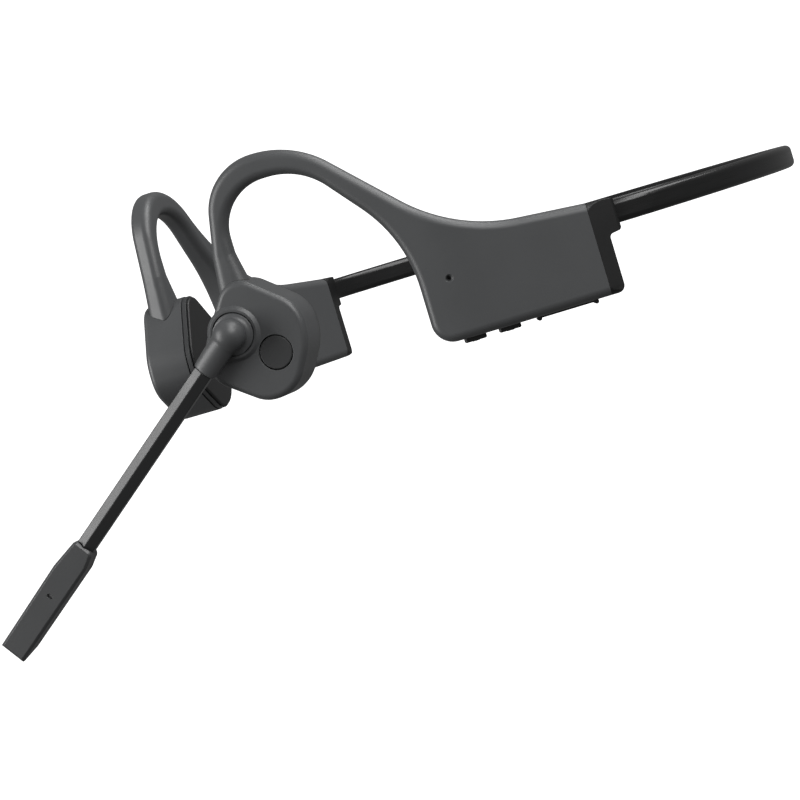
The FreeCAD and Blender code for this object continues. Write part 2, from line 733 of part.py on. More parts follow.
def make_battery_side():
    x0 = CAP_LENGTH + TONGUE_REACH + 0.4
    low = case_floor() + 0.4
    half = BATTERY_THICK / 2
    end = x0 + BATTERY_LONG
    cell = rounded_bar(x0, end, -half, half, low, low + BATTERY_HIGH, 0.9)
    x1 = end + BATTERY_TAB
    board = block(x1, x1 + BOARD_THICK, -half, half, low + 0.6, low + BATTERY_HIGH - 0.6)
    tabs = [block(end, x1, -half / 2, half / 2, low + z, low + z + 1.6) for z in (2.5, 8.5)]
    return {"battery_cell": cell, "battery_board": board, "battery_tabs": Part.Compound(tabs)}


# ---------------------------------------------------------------- sound pod

def pod_outline():
    """Side view of the sound pod: a rounded teardrop under the hook's foot."""
    return rounded_outline([
        (1.5, POD_PEAK, 5.0),
        (POD_FRONT, -2.9, 9.0),
        (POD_FRONT, -9.6, 6.0),
        (1.1, -POD_BASE, 7.0),
        (-5.9, -POD_BASE, 8.0),
        (-POD_REAR, -6.9, 12.0),
        (-POD_REAR, 0.6, 8.0),
    ])


def edges_at(solid, y):
    return [e for e in solid.Edges if abs(e.BoundBox.YMin - y) < 0.01 and abs(e.BoundBox.YMax - y) < 0.01]


def pod_envelope():
    body = slab(pod_outline(), -FACE, FACE)
    return body.makeFillet(POD_EDGE_R, edges_at(body, FACE))


def pod_housing(channel):
    inner = slab(inset(pod_outline(), WALL), -FACE - 1, FACE - WALL)
    housing = pod_envelope().cut(inner).cut(channel)
    for x, z in spring_lugs():
        lug = disc(1.3, SPRING_Y + SPRING_THICK, FACE - WALL + 0.2, x, z)
        housing = housing.fuse(lug)
    return housing


def spring_lugs():
    """Two lugs that carry the driver's spring plate, clear of the button and the boom's shaft."""
    reach = SPRING_R - 1.0
    return [(DRIVER_X + reach * math.cos(a), DRIVER_Z + reach * math.sin(a))
            for a in (math.radians(125), math.radians(305))]


def pod_rim():
    outline = inset(pod_outline(), 0.15)
    y0, y1 = -FACE - RIM_GROOVE - RIM_THICK, -FACE - RIM_GROOVE
    spigot = slab(inset(pod_outline(), WALL), y1 - 0.1, y1 + WALL)
    opening = slab(inset(pod_outline(), RIM_WIDE), y0 - 1, y1 + WALL + 1)
    return slab(outline, y0, y1).fuse(spigot).cut(opening).removeSplitter()


def contact_pad():
    y0 = -PAD_FACE
    skin = slab(inset(pod_outline(), 0.45), y0, y0 + PAD_PROUD - PAD_SEAM)
    skin = skin.makeFillet(PAD_EDGE, edges_at(skin, y0))
    plug = slab(inset(pod_outline(), RIM_WIDE), y0 + 0.3, -FACE - RIM_GROOVE)
    return skin.fuse(plug).removeSplitter()


def driver_parts():
    """Bone conduction driver: the coil moves against the cup's magnet and shakes the vibration plate."""
    plate_y = -FACE - RIM_GROOVE
    x, z = DRIVER_X, DRIVER_Z
    plate = disc(COIL_R + 0.8, plate_y, plate_y + 0.6, x, z)
    coil = ring(COIL_R, COIL_R - COIL_WALL, plate_y + 0.6, plate_y + 3.0, x, z)
    cup_y = plate_y + 1.3
    cup = disc(CUP_R, cup_y, cup_y + CUP_DEEP, x, z)
    cup = cup.cut(disc(CUP_R - CUP_WALL, cup_y - 1, cup_y + CUP_DEEP - CUP_WALL, x, z))
    magnet = disc(MAGNET_R, cup_y + 0.3, cup_y + CUP_DEEP - CUP_WALL, x, z)
    spring = disc(SPRING_R, SPRING_Y, SPRING_Y + SPRING_THICK, x, z)
    for i in range(3):
        spring = spring.cut(spring_slot(i * 120))
    post = disc(2.0, cup_y + CUP_DEEP, SPRING_Y, x, z)
    return {
        "vibration_plate": plate, "voice_coil": coil, "magnet_cup": cup.fuse(post).removeSplitter(),
        "driver_magnet": magnet, "spring_plate": spring,
    }


def spring_slot(degrees):
    """One of the arc-shaped slots that leave the spring plate's arms."""
    y0, y1 = SPRING_Y - 1, SPRING_Y + 1
    slot = ring(SPRING_R - 2.0, SPRING_R - 2.0 - SPRING_SLOT, y0, y1)
    slot = slot.common(block(0, SPRING_R, y0, y1, 0, SPRING_R))
    slot.rotate(ORIGIN, Y, degrees)
    slot.translate(V(DRIVER_X, 0, DRIVER_Z))
    return slot


def make_sound_pod(channel):
    parts = driver_parts()
    parts["sound_pod_housing"] = pod_housing(channel)
    parts["sound_pod_rim"] = pod_rim()
    parts["contact_pad"] = contact_pad()
    return parts


# ---------------------------------------------------------------- multifunction button

def make_button():
    """Button with a flange behind the pod's wall, which keeps it in."""
    seat = FACE - WALL
    button = disc(BUTTON_R, seat - 0.1, FACE - 0.05, BUTTON_X, BUTTON_Z)
    button = button.makeFillet(0.25, edges_at(button, FACE - 0.05))
    flange = disc(BUTTON_R + BUTTON_FLANGE, seat - BUTTON_FLANGE_THICK, seat - 0.05, BUTTON_X, BUTTON_Z)
    return button.fuse(flange).removeSplitter()


def button_switch():
    """Press switch on its small board, behind the multifunction button."""
    back = FACE - WALL - BUTTON_FLANGE_THICK - BUTTON_TRAVEL - 0.1
    low = SPRING_Y + SPRING_THICK + 0.15
    half = SWITCH_WIDE / 2
    board = disc(SWITCH_WIDE / 2 + 1.0, low, low + 0.4, BUTTON_X, BUTTON_Z)
    body = block(BUTTON_X - half, BUTTON_X + half, low + 0.4, back - SWITCH_STEM,
                 BUTTON_Z - half, BUTTON_Z + half)
    plunger = disc(half / 2, back - SWITCH_STEM, back, BUTTON_X, BUTTON_Z)
    return {"multifunction_board": board, "multifunction_switch": body.fuse(plunger).removeSplitter()}


# ---------------------------------------------------------------- boom

def add_boom_seat(housing):
    """Raised collar around the boom's hub, the shaft's hole and the button's hole."""
    collar = Part.makeCone(COLLAR_R, COLLAR_TOP_R, COLLAR_RISE, V(PIVOT_X, FACE, PIVOT_Z), Y)
    housing = housing.fuse(collar)
    recess = disc(HUB_R + HUB_GAP, FACE, FACE + 2, PIVOT_X, PIVOT_Z)
    hole = disc(SHAFT_R + SHAFT_CLEAR, 0, FACE + 1, PIVOT_X, PIVOT_Z)
    button_hole = disc(BUTTON_R + BUTTON_GAP, 0, FACE + 2, BUTTON_X, BUTTON_Z)
    return housing.cut(recess).cut(hole).cut(button_hole)


def boom_elbow():
    """Hub, dome and tapered arm in one moulding, with the shaft that turns in the pod's wall."""
    low, centre = FACE + HUB_GAP, FACE + DOME_RISE
    shoulder = math.radians(12)
    rise = math.radians(40)
    side = V(DOME_R * math.cos(shoulder), centre - DOME_R * math.sin(shoulder), 0)
    lip = V(HUB_R, low + 0.6, 0)
    bend = V(side.x + 0.3, lip.y + 0.2, 0)
    middle = V(DOME_R * math.cos(rise), centre + DOME_R * math.sin(rise), 0)
    profile = Part.Wire([
        Part.LineSegment(V(0, low, 0), V(HUB_R, low, 0)).toShape(),
        Part.LineSegment(V(HUB_R, low, 0), lip).toShape(),
        Part.Arc(lip, bend, side).toShape(),
        Part.Arc(side, middle, V(0, centre + DOME_R, 0)).toShape(),
        Part.LineSegment(V(0, centre + DOME_R, 0), V(0, low, 0)).toShape(),
    ])
    hub = Part.Face(profile).revolve(ORIGIN, Y, 360)
    arm = Part.makeCone(ARM_R, ARM_END_R, ARM_LENGTH, V(0, centre, 0), X)
    shaft = disc(SHAFT_R, FACE - WALL - 0.1, low + 0.2)
    elbow = hub.fuse(arm).fuse(shaft).removeSplitter()
    tenon = Part.makeCylinder(stem_tenon_r(), STEM_INSET, V(ARM_LENGTH - STEM_INSET, centre, 0), X)
    screw_hole = disc(SCREW_R, FACE - WALL - 1, FACE + 1.4)
    return elbow.cut(tenon).cut(screw_hole)


def stem_tenon_r():
    return STEM_ACROSS / 2 - 0.35


def hexagon_bar(x0, x1, y):
    """Six-sided bar along the boom, with slightly rounded corners."""
    radius = STEM_ACROSS / 2 / math.cos(math.radians(30))
    points = [V(x0, y + radius * math.cos(math.radians(60 * i)), radius * math.sin(math.radians(60 * i)))
              for i in range(7)]
    bar = Part.Face(Part.makePolygon(points)).extrude(V(x1 - x0, 0, 0))
    return bar.makeFillet(0.3, [e for e in bar.Edges if e.BoundBox.XLength > (x1 - x0) / 2])


def boom_stem():
    y = FACE + DOME_RISE
    stem = hexagon_bar(ARM_LENGTH, HEAD_START + STEM_INSET, y)
    tenon = Part.makeCylinder(stem_tenon_r(), STEM_INSET + 0.3, V(ARM_LENGTH - STEM_INSET, y, 0), X)
    return stem.fuse(tenon).cut(stem_core(FIT))


def stem_core(clear=0.0):
    length = HEAD_START + STEM_INSET - ARM_LENGTH + STEM_INSET
    return Part.makeCylinder(STEM_CORE_R + clear, length, V(ARM_LENGTH - STEM_INSET, FACE + DOME_RISE, 0), X)


def head_solid():
    """Microphone head: a flat bar with tapered shoulders; its end is cut back on the inner side."""
    wide, neck = HEAD_WIDE / 2, HEAD_NECK / 2
    outline = rounded_outline([
        (HEAD_START, -neck, 1.2), (HEAD_START, neck, 0.8), (HEAD_START + HEAD_TAPER, wide, 6.0),
        (HEAD_END, wide - 0.25, 0), (HEAD_END, 0.1 - wide, 0), (HEAD_START + HEAD_TAPER / 2, -wide, 3.0),
    ])
    y = FACE + DOME_RISE
    y0, y1 = y - HEAD_THICK / 2, y + HEAD_THICK / 2
    head = slab(outline, y0, y1)
    head = head.makeChamfer(HEAD_BEVEL, edges_at(head, y0) + edges_at(head, y1))
    slant = Part.makePolygon([V(HEAD_END - HEAD_CUT, y0, -wide), V(HEAD_END + 1, y0, -wide),
                              V(HEAD_END + 1, y + 0.8, -wide), V(HEAD_END, y + 0.8, -wide),
                              V(HEAD_END - HEAD_CUT, y0, -wide)])
    return head.cut(Part.Face(slant).extrude(V(0, 0, HEAD_WIDE)))


def make_mic_head():
    y = FACE + DOME_RISE
    split = y - HEAD_THICK / 2 + HEAD_BACK
    wide = HEAD_WIDE
    front_side = block(HEAD_START - 1, HEAD_END + 1, split, y + 5, -wide, wide)
    back_side = block(HEAD_START - 1, HEAD_END + 1, y - 5, split, -wide, wide)
    solid = head_solid()
    socket = Part.makeCylinder(STEM_ACROSS / 2 + 0.4, STEM_INSET + 0.3, V(HEAD_START - 0.1, y, 0), X)
    room = block(HEAD_START + 4, HEAD_END - 5, y - HEAD_THICK / 2 + HEAD_WALL, y + HEAD_THICK / 2 - HEAD_WALL,
                 HEAD_WALL - wide / 2, wide / 2 - HEAD_WALL)
    solid = solid.cut(socket).cut(room)
    slot = block(HEAD_HOLE - HOLE_R, HEAD_HOLE + HOLE_R, y, y + 5, -HOLE_HALF, HOLE_HALF)
    for z in (-HOLE_HALF, HOLE_HALF):
        slot = slot.fuse(disc(HOLE_R, y, y + 5, HEAD_HOLE, z))
    inner = y + HEAD_THICK / 2 - HEAD_WALL
    return {
        "mic_head_front": solid.common(front_side).cut(slot),
        "mic_head_back": solid.common(back_side),
        "mic_mesh": disc(1.4, inner - MESH_THICK, inner, HEAD_HOLE, 0),
        "mic_capsule": disc(CAPSULE_R, inner - MESH_THICK - CAPSULE_THICK, inner - MESH_THICK, HEAD_HOLE, 0),
    }


def make_boom():
    inside = FACE - WALL
    screw = disc(SCREW_R, inside - 0.5, FACE + 1.3).fuse(disc(SHAFT_R + 0.9, inside - 0.5, inside - 0.12))
    parts = {
        "boom_elbow": boom_elbow(), "boom_stem": boom_stem(), "boom_stem_core": stem_core(),
        "boom_retainer": screw.removeSplitter(),
    }
    parts.update(make_mic_head())
    return parts


# ---------------------------------------------------------------- the headset

def main():
    os.makedirs("parts", exist_ok=True)
    nodes = make_neckband()
    band_room = swept_band(band_path(), band_section())
    band_room.translate(V(-ARM_REAR_X, -ARM_REAR_Y, 0))
    band_room.rotate(ORIGIN, Z, TOE_IN)
    arm = make_arm(band_room)
    left_shell, control = make_control_side(arm["arm_shell"])
    for name, shape in arm.items():
        nodes["right_" + name] = place_arm(shape, -1)
        nodes["left_" + name] = place_arm(shape, 1)
    nodes["left_arm_shell"] = place_arm(left_shell, 1)
    for name, shape in control.items():
        nodes[name] = place_arm(shape, 1)
    for name, shape in make_battery_side().items():
        nodes[name] = place_arm(shape, -1)

    pod = make_sound_pod(arm_in_pod(hook_channel()))
    for name, shape in pod.items():
        nodes["right_" + name] = place_pod(shape, -1)
        nodes["left_" + name] = place_pod(shape, 1)
    nodes["left_sound_pod_housing"] = place_pod(add_boom_seat(pod["sound_pod_housing"]), 1)
    nodes["multifunction_button"] = place_pod(make_button(), 1)
    for name, shape in button_switch().items():
        nodes[name] = place_pod(shape, 1)
    for name, shape in make_boom().items():
        nodes[name] = place_boom(shape)

    for name, shape in nodes.items():
        shape.exportStep(f"parts/{name}.step")
        print(name, shape.isValid(), len(shape.Solids), round(shape.Volume, 2))


main()
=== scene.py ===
import json
import math

import bmesh
import bpy
from mathutils import Matrix, Vector


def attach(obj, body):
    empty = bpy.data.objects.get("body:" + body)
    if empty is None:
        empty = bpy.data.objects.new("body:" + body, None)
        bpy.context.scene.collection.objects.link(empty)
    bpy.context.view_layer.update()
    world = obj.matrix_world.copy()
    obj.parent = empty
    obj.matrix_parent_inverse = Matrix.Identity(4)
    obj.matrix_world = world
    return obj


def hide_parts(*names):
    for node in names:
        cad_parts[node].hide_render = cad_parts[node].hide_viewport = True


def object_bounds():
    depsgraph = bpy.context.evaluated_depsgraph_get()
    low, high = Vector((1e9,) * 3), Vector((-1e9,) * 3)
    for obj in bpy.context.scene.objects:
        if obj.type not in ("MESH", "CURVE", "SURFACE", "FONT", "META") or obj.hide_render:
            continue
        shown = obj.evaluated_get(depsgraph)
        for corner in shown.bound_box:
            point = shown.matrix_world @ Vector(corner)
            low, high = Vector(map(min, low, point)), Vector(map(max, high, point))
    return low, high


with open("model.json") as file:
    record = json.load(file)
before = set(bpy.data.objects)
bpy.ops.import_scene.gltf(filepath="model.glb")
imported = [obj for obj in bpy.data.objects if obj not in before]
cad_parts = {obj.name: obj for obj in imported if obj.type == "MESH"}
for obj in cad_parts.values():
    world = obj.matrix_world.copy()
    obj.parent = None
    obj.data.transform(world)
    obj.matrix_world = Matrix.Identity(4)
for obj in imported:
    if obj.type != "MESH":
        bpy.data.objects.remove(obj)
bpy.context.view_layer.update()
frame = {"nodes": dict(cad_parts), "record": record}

# Looks of the bone conduction headset. Metres and radians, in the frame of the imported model.

MM = 0.001

# ---- where things are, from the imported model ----
BODY_OF = {node: body for body, nodes in frame["record"]["behaviour"]["bodies"].items() for node in nodes}

# ---- camera ----
VIEW_TURN = math.radians(28.44)     # the camera stands in front and to the wearer's left
VIEW_RISE = math.radians(2.84)
VIEW_ROLL = math.radians(16.79)
VIEW_DISTANCE = 0.6831
VIEW_AIM = Vector((-0.0325, 0.0, -0.02557))
VIEW_LENS = 145.6

# ---- skins of the CAD nodes ----
SHARP = math.radians(32)
JOIN = 0.002 * MM                   # corners nearer than this are one

# ---- the boom at rest ----
BOOM_PIVOT = Vector((9.829, 19.655, -1.5)) * MM
BOOM_OUT = Vector((math.sqrt(0.5), math.sqrt(0.5), 0))
BOOM_DIP = math.radians(37.7)
BOOM_ALONG = Vector((BOOM_OUT.y * math.cos(BOOM_DIP), -BOOM_OUT.x * math.cos(BOOM_DIP), -math.sin(BOOM_DIP)))
BOOM_SIDE = BOOM_OUT.cross(BOOM_ALONG)
STEM_GROWTH = 1.28                  # the flexible stem is drawn this much wider than its solid
ELBOW_GROWTH = 1.45                 # and the elbow's end with it
ELBOW_WIDENS = 1.0 * MM             # from the pivot
ELBOW_LONG = 9.2 * MM
ELBOW_CELL = 0.16 * MM
ELBOW_ROUNDS = 22                   # smoothing passes

# ---- marks on the volume keys ----
CASE_TURN = math.radians(-28.3)     # the left case's length, from the X axis
MARK_LONG = 1.5 * MM
MARK_WIDE = 0.36 * MM
MARK_PROUD = 0.12 * MM
MARK_EDGE = 0.04 * MM

# ---- studio ----
FLOOR_DROP = 0.105                  # the floor lies this far below the headset
ROOM_RADIUS = 1.9
ROOM_BEND = 0.7
ROOM_HEIGHT = 2.2


# ---------------------------------------------------------------- shader building

class Value:
    """A number or colour that varies over a surface; arithmetic on it adds the Math nodes."""

    def __init__(self, finish, socket):
        self.finish = finish
        self.socket = socket

    def maths(self, operation, *terms):
        return self.finish.node("ShaderNodeMath", {"operation": operation}, dict(enumerate(terms)))

    def __add__(self, other):
        return self.maths("ADD", self, other)

    def __radd__(self, other):
        return self.maths("ADD", other, self)

    def __sub__(self, other):
        return self.maths("SUBTRACT", self, other)

    def __rsub__(self, other):
        return self.maths("SUBTRACT", other, self)

    def __mul__(self, other):
        return self.maths("MULTIPLY", self, other)

    def __rmul__(self, other):
        return self.maths("MULTIPLY", other, self)

    def above(self, edge):
        return self.maths("GREATER_THAN", self, edge)

    def waves(self):
        return self.maths("SINE", self)


class Finish:
    """A procedural material: its Principled shader and the nodes that drive it."""

    def __init__(self, name, **constants):
        self.material = bpy.data.materials.new(name)
        self.material.use_nodes = True
        self.tree = self.material.node_tree
        self.shader = self.tree.nodes["Principled BSDF"]
        for socket, value in constants.items():
            self.shader.inputs[socket.replace("_", " ")].default_value = value

    def node(self, kind, settings=None, inputs=None, output=0):
        made = self.tree.nodes.new(kind)
        for name, value in (settings or {}).items():
            setattr(made, name, value)
        for socket, value in (inputs or {}).items():
            self.feed(made.inputs[socket], value)
        return Value(self, made.outputs[output])

    def feed(self, socket, value):
        if isinstance(value, Value):
            self.tree.links.new(value.socket, socket)
        else:
            socket.default_value = value

    def surface(self, **values):
        for socket, value in values.items():
            self.feed(self.shader.inputs[socket.replace("_", " ")], value)
        return self.material

    def place(self, stretch=(1, 1, 1)):
        """Object coordinates in millimetres, squeezed along an axis where stretch is over 1."""
        where = self.node("ShaderNodeTexCoord", output="Object")
        scale = tuple(1 / MM / s for s in stretch)
        return self.node("ShaderNodeVectorMath", {"operation": "MULTIPLY"}, {0: where, 1: scale})

    def noise(self, size, where=None, detail=2.0, rough=0.5):
        """Cloudy value about 0.5, with lumps of that size in millimetres."""
        vector = where or self.place()
        inputs = {"Vector": vector, "Scale": 1 / size, "Detail": detail, "Roughness": rough}
        return self.node("ShaderNodeTexNoise", {}, inputs)

    def cells(self, size, where=None):
        """Distance to the nearest of many scattered points, for grain and pores."""
        vector = where or self.place()
        return self.node("ShaderNodeTexVoronoi", {}, {"Vector": vector, "Scale": 1 / size})

    def axis(self, index, where=None):
        return self.node("ShaderNodeSeparateXYZ", {}, {0: where or self.place()}, output=index)

    def blend(self, mask, first, second):
        """First colour where mask is 0, second where it is 1."""
        inputs = {0: mask, 6: first, 7: second}
        return self.node("ShaderNodeMix", {"data_type": "RGBA"}, inputs, output=2)

    def relief(self, height, depth, normal=None):
        """Bump of that depth in millimetres."""
        inputs = {"Height": height, "Distance": depth * MM, "Strength": 1.0}
        if normal:
            inputs["Normal"] = normal
        return self.node("ShaderNodeBump", {}, inputs)

    def eased_edges(self, radius):
        """Normals that round sharp edges off by that radius in millimetres."""
        return self.node("ShaderNodeBevel", {"samples": 4}, {"Radius": radius * MM})


def grey(level, tint=0.0):
    """Grey with a slight cool tint, as a colour."""
    return (level * (1 - tint), level, level * (1 + tint), 1.0)


# ---------------------------------------------------------------- finishes

def moulded(name, level, rough, grain, tint=0.03, mottle=0.08, ease=0.12, ior=1.47):
    """Moulded plastic or rubber: faint mottling, fine grain and softened edges."""
    finish = Finish(name, IOR=ior)
    cloud = finish.noise(7.0, detail=3.0)
    fine = finish.noise(grain)
    pores = finish.cells(grain * 2.2)
    tone = (cloud - 0.5) * (2 * mottle) + (fine - 0.5) * mottle + 0.5
    colour = finish.blend(tone, grey(level * 0.78, tint), grey(level * 1.22, tint))
    handled = finish.noise(11.0, detail=4.0)
    roughness = rough + (handled - 0.5) * 0.16 + (fine - 0.5) * 0.05
    normal = finish.relief(fine + pores * 0.6, grain * 0.035, finish.eased_edges(ease))
    return finish.surface(Base_Color=colour, Roughness=roughness, Normal=normal)


def soft_touch_housing():
    return moulded("housing soft touch", 0.050, 0.44, 0.16, ease=0.18)


def rim_plastic():
    return moulded("rim satin plastic", 0.032, 0.40, 0.14)


def cap_plastic():
    return moulded("rear cap black plastic", 0.0045, 0.42, 0.12, ease=0.2, ior=1.38)


def key_plastic():
    return moulded("key black plastic", 0.011, 0.42, 0.10, ease=0.15)


def button_plastic():
    return moulded("button dark plastic", 0.018, 0.50, 0.12, ease=0.15)


def head_plastic():
    return moulded("microphone head plastic", 0.036, 0.42, 0.14, ease=0.22)


def stem_rubber():
    return moulded("boom stem rubber", 0.014, 0.36, 0.18, ease=0.2)


def pad_silicone():
    return moulded("contact pad silicone", 0.0075, 0.52, 0.22, ease=0.3)


def flap_rubber():
    return moulded("port flap rubber", 0.010, 0.46, 0.14, ease=0.15)


def band_rubber():
    """Sleeve of the neckband: satin rubber with the faint lines that its moulding leaves."""
    finish = Finish("neckband rubber", IOR=1.38)
    lines = finish.noise(0.5, finish.place((14, 14, 1)), detail=2.0)
    fine = finish.noise(0.16)
    colour = finish.blend(lines * 0.6 + fine * 0.4, grey(0.0045, 0.02), grey(0.0085, 0.02))
    roughness = 0.30 + (lines - 0.5) * 0.12 + (fine - 0.5) * 0.08
    normal = finish.relief(lines * 0.5 + fine * 0.5, 0.006)
    return finish.surface(Base_Color=colour, Roughness=roughness, Normal=normal)


def drawn_steel(name="drawn steel", level=0.55, rough=0.28):
    finish = Finish(name, Metallic=1.0)
    lines = finish.noise(0.12, finish.place((1, 1, 9)), detail=3.0)
    colour = finish.blend(lines, grey(level * 0.82, 0.01), grey(level * 1.15, 0.01))
    roughness = rough + (lines - 0.5) * 0.2
    return finish.surface(Base_Color=colour, Roughness=roughness, Normal=finish.relief(lines, 0.004))


def plated_magnet():
    finish = Finish("plated magnet", Metallic=1.0)
    cloud = finish.noise(1.8, detail=4.0)
    colour = finish.blend(cloud, (0.56, 0.56, 0.58, 1), (0.78, 0.77, 0.75, 1))
    return finish.surface(Base_Color=colour, Roughness=0.12 + cloud * 0.12,
                          Normal=finish.relief(cloud, 0.003))


def wound_copper():
    """Enamelled copper wire, wound in fine turns."""
    finish = Finish("wound copper", Metallic=0.9)
    where = finish.place()
    along = finish.axis(0, where) + finish.axis(1, where)
    turns = (along * 24.0).waves() * 0.5 + 0.5
    # painted shade and highlight: each turn's colour is painted darker in the grooves between turns and
    # lighter on its crest, with some random tone from the noise
    shade = turns * 0.7 + finish.noise(0.4, where) * 0.3
    colour = finish.blend(shade, (0.30, 0.10, 0.035, 1), (0.83, 0.41, 0.19, 1))
    return finish.surface(Base_Color=colour, Roughness=0.34 - shade * 0.1, Normal=finish.relief(turns, 0.02))


def solder_mask():
    """Green circuit board with copper tracks under the mask."""
    finish = Finish("circuit board", IOR=1.5)
    where = finish.place()
    tracks = (finish.axis(2, where) * 5.0 + finish.noise(3.0, where) * 9.0).waves().above(0.55)
    colour = finish.blend(tracks, (0.008, 0.060, 0.022, 1), (0.020, 0.160, 0.055, 1))
    height = tracks * 0.8 + finish.noise(0.3, where) * 0.2
    return finish.surface(Base_Color=colour, Roughness=0.36 - tracks * 0.1,
                          Normal=finish.relief(height, 0.02))


def battery_foil():
    """Aluminium laminate pouch with shallow creases."""
    finish = Finish("battery foil", Metallic=0.85)
    creases = finish.noise(2.2, detail=5.0, rough=0.62)
    colour = finish.blend(creases, (0.52, 0.53, 0.55, 1), (0.80, 0.81, 0.82, 1))
    return finish.surface(Base_Color=colour, Roughness=0.22 + creases * 0.2,
                          Normal=finish.relief(creases, 0.10))


def cable_enamel():
    finish = Finish("cable insulation", IOR=1.48)
    lines = finish.noise(0.3, finish.place((1, 1, 4)))
    colour = finish.blend(lines, (0.26, 0.020, 0.014, 1), (0.46, 0.050, 0.030, 1))
    return finish.surface(Base_Color=colour, Roughness=0.34 + lines * 0.12,
                          Normal=finish.relief(lines, 0.006))


def room_paint():
    finish = Finish("studio paper", Roughness=0.95)
    fibre = finish.noise(2.5, detail=3.0)
    colour = finish.blend(fibre, grey(0.885), grey(0.915))
    finish.surface(Base_Color=colour, Normal=finish.relief(fibre, 0.02))
    finish.shader.inputs["Emission Color"].default_value = (1, 1, 1, 1)
    finish.shader.inputs["Emission Strength"].default_value = 1.0
    return finish.material


# ---------------------------------------------------------------- meshes

def new_piece(name, mesh_maker, body, finish):
    """Make an object of a finished bmesh, give it its finish and let it ride its body."""
    mesh = bpy.data.meshes.new(name)
    mesh_maker.to_mesh(mesh)
    mesh_maker.free()
    mesh.materials.append(finish)
    piece = bpy.data.objects.new(name, mesh)
    bpy.context.scene.collection.objects.link(piece)
    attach(piece, body)
    return piece


def merged_copy(node):
    """The node's mesh with its loose triangles joined."""
    shape = bmesh.new()
    shape.from_mesh(frame["nodes"][node].data)
    bmesh.ops.remove_doubles(shape, verts=shape.verts, dist=JOIN)
    return shape


def shade(shape):
    """Smooth faces, with a crisp line wherever they meet at more than SHARP."""
    for face in shape.faces:
        face.smooth = True
    for edge in shape.edges:
        edge.smooth = len(edge.link_faces) == 2 and edge.calc_face_angle(0.0) < SHARP


def widen(shape, growth, start, full):
    """Stretch a piece of the boom in the plane that it swings in, more and more from start to full."""
    for vert in shape.verts:
        place = vert.co - BOOM_PIVOT
        share = min(1.0, max(0.0, (place.dot(BOOM_ALONG) - start) / (full - start)))
        vert.co += BOOM_SIDE * place.dot(BOOM_SIDE) * (growth - 1) * share


def skin(node, shape, finish):
    """The piece that stands for a CAD node, with the loaded corner normals dropped."""
    piece = new_piece(node + "_skin", shape, BODY_OF[node], finish)
    normals = piece.data.attributes.get("custom_normal")
    if normals:
        piece.data.attributes.remove(normals)
    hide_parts(node)
    return piece


def smooth_shell(node, finish, growth=1.0):
    """A joined, smooth shaded copy of a CAD node, which stands for it."""
    shape = merged_copy(node)
    if growth != 1.0:
        widen(shape, growth, 0.0, MM)
    shade(shape)
    weighted = skin(node, shape, finish).modifiers.new("even shading", "WEIGHTED_NORMAL")
    weighted.keep_sharp = True


def blended_elbow(finish):
    """A copy of the elbow with its joins flowed together and its arm as wide as the stem needs."""
    shape = merged_copy("boom_elbow")
    widen(shape, ELBOW_GROWTH, ELBOW_WIDENS, ELBOW_LONG)
    piece = skin("boom_elbow", shape, finish)
    remesh = piece.modifiers.new("even cells", "REMESH")
    remesh.mode = "VOXEL"
    remesh.voxel_size = ELBOW_CELL
    remesh.use_smooth_shade = True
    smooth = piece.modifiers.new("flowing joins", "SMOOTH")
    smooth.factor = 0.5
    smooth.iterations = ELBOW_ROUNDS


def dress(finish, *nodes):
    """Give CAD nodes that stay their finish."""
    for node in nodes:
        for slot in frame["nodes"][node].material_slots:
            slot.material = finish


# ---------------------------------------------------------------- studio

def pale_room():
    """Floor that curves up into a wall all round, spun from its side view."""
    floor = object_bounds()[0][2] - FLOOR_DROP
    steps = 16
    side = [Vector((0, 0, floor)), Vector((ROOM_RADIUS - ROOM_BEND, 0, floor))]
    for step in range(1, steps + 1):
        angle = math.pi / 2 * step / steps
        side.append(Vector((ROOM_RADIUS - ROOM_BEND * (1 - math.sin(angle)), 0,
                            floor + ROOM_BEND * (1 - math.cos(angle)))))
    side.append(Vector((ROOM_RADIUS, 0, floor + ROOM_HEIGHT)))
    room = bmesh.new()
    points = [room.verts.new(point) for point in side]
    edges = [room.edges.new(pair) for pair in zip(points, points[1:])]
    bmesh.ops.spin(room, geom=points + edges, cent=(0, 0, 0), axis=(0, 0, 1), angle=2 * math.pi,
                   steps=96, use_merge=True)
    bmesh.ops.remove_doubles(room, verts=room.verts, dist=0.01 * MM)
    bmesh.ops.recalc_face_normals(room, faces=room.faces)
    bmesh.ops.reverse_faces(room, faces=room.faces)
    for face in room.faces:
        face.smooth = True
    mesh = bpy.data.meshes.new("studio_floor")
    room.to_mesh(mesh)
    room.free()
    mesh.materials.append(room_paint())
    piece = bpy.data.objects.new("studio_floor", mesh)
    bpy.context.scene.collection.objects.link(piece)
    piece.visible_diffuse = False       # the softboxes light the headset, the bright paper doesn't
    piece.visible_glossy = False


def camera_axes():
    """The camera's right, up and backward directions, with its roll."""
    back = Vector((math.sin(VIEW_TURN) * math.cos(VIEW_RISE), math.cos(VIEW_TURN) * math.cos(VIEW_RISE),
                   math.sin(VIEW_RISE)))
    level = Vector((0, 0, 1)).cross(back).normalized()
    upright = back.cross(level)
    right = level * math.cos(VIEW_ROLL) - upright * math.sin(VIEW_ROLL)
    return right, back.cross(right), back


def make_camera():
    right, up, back = camera_axes()
    data = bpy.data.cameras.new("camera")
    data.lens = VIEW_LENS
    data.sensor_width = 36.0
    data.clip_start = 0.01
    camera = bpy.data.objects.new("camera", data)
    camera.matrix_world = Matrix.Translation(VIEW_AIM + back * VIEW_DISTANCE) @ Matrix(
        (right, up, back)).transposed().to_4x4()
    bpy.context.scene.collection.objects.link(camera)
    bpy.context.scene.camera = camera


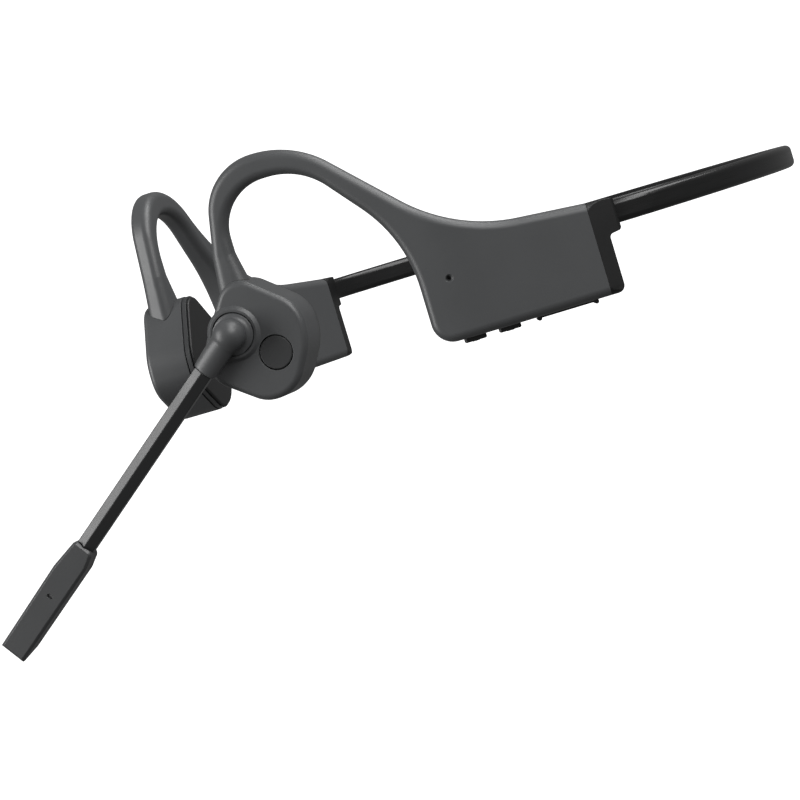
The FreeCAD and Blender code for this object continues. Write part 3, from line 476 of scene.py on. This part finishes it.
def softbox(name, direction, distance, width, height, watts):
    """Rectangular light that faces the headset from that direction: right, up and back of the camera."""
    right, up, back = camera_axes()
    towards = (right * direction[0] + up * direction[1] + back * direction[2]).normalized()
    data = bpy.data.lights.new(name, "AREA")
    data.shape = "RECTANGLE"
    data.size = width
    data.size_y = height
    data.energy = watts
    light = bpy.data.objects.new(name, data)
    light.location = VIEW_AIM + towards * distance
    light.rotation_euler = towards.to_track_quat("Z", "Y").to_euler()
    bpy.context.scene.collection.objects.link(light)


def make_studio():
    pale_room()
    softbox("top softbox", (0.25, 1.0, 0.12), 0.75, 0.55, 0.4, 5.0)
    softbox("front softbox", (0.4, 0.95, 1.0), 0.95, 0.5, 0.5, 7.6)
    softbox("left softbox", (-1.0, -0.05, 0.3), 0.8, 0.35, 0.6, 6.5)
    world = bpy.data.worlds.new("studio air")
    bpy.context.scene.world = world
    world.use_nodes = True
    world.node_tree.nodes["Background"].inputs["Color"].default_value = (1, 1, 1, 1)
    world.node_tree.nodes["Background"].inputs["Strength"].default_value = 0.2
    bpy.context.scene.view_settings.view_transform = "Standard"


# ---------------------------------------------------------------- the headset

def outer_pieces():
    housing = soft_touch_housing()
    for side in ("left", "right"):
        smooth_shell(side + "_arm_shell", housing)
        smooth_shell(side + "_sound_pod_housing", housing)
    rim, pad, cap = rim_plastic(), pad_silicone(), cap_plastic()
    for side in ("left", "right"):
        smooth_shell(side + "_sound_pod_rim", rim)
        smooth_shell(side + "_contact_pad", pad)
        smooth_shell(side + "_rear_cap", cap)
    smooth_shell("neckband_sleeve", band_rubber())
    smooth_shell("multifunction_button", button_plastic())
    key = key_plastic()
    smooth_shell("volume_up_button", key)
    smooth_shell("volume_down_button", key)
    key_mark("volume_up_mark", "volume_up_button", (0.0, math.pi / 2), key)
    key_mark("volume_down_mark", "volume_down_button", (0.0,), key)
    smooth_shell("charging_flap", flap_rubber())
    blended_elbow(housing)
    smooth_shell("boom_stem", stem_rubber(), growth=STEM_GROWTH)
    head = head_plastic()
    smooth_shell("mic_head_front", head)
    smooth_shell("mic_head_back", head)


def key_mark(name, key, bars, finish):
    """Raised plus or minus on a volume key: bars are turns from the case's length."""
    corners = [frame["nodes"][key].matrix_world @ v.co for v in frame["nodes"][key].data.vertices]
    low = min(point.z for point in corners)
    face = [point for point in corners if point.z < low + 0.02 * MM]
    middle = sum(face, Vector()) / len(face)
    shape = bmesh.new()
    for bar in bars:
        made = bmesh.ops.create_cube(shape, size=1.0)["verts"]
        bmesh.ops.scale(shape, vec=(MARK_LONG, MARK_WIDE, 2 * MARK_PROUD), verts=made)
        bmesh.ops.rotate(shape, matrix=Matrix.Rotation(CASE_TURN + bar, 3, "Z"), verts=made)
        bmesh.ops.translate(shape, vec=middle, verts=made)
    bmesh.ops.bevel(shape, geom=shape.edges[:], offset=MARK_EDGE, segments=2, profile=0.5,
                    affect="EDGES", material=-1)
    return new_piece(name, shape, BODY_OF[key], finish)


def inner_pieces():
    dress(drawn_steel("spring wire", 0.5, 0.26), "neckband_wire", "left_hook_wire", "right_hook_wire",
          "boom_stem_core")
    dress(drawn_steel("stamped steel", 0.58, 0.3), "radio_module", "charging_socket", "board_screws",
          "boom_retainer", "mic_mesh")
    dress(drawn_steel("driver steel", 0.52, 0.34), *[side + name for side in ("left", "right") for name in (
        "_magnet_cup", "_spring_plate", "_vibration_plate")])
    dress(plated_magnet(), "left_driver_magnet", "right_driver_magnet")
    dress(wound_copper(), "left_voice_coil", "right_voice_coil", "battery_tabs")
    dress(solder_mask(), "control_board", "battery_board", "multifunction_board")
    dress(battery_foil(), "battery_cell")
    dress(cable_enamel(), "neckband_cable_cores", "left_hook_lead", "right_hook_lead")
    dress(moulded("switch black plastic", 0.02, 0.45, 0.1), "volume_switches", "multifunction_switch",
          "case_microphone", "mic_capsule")


make_camera()
make_studio()
outer_pieces()
inner_pieces()
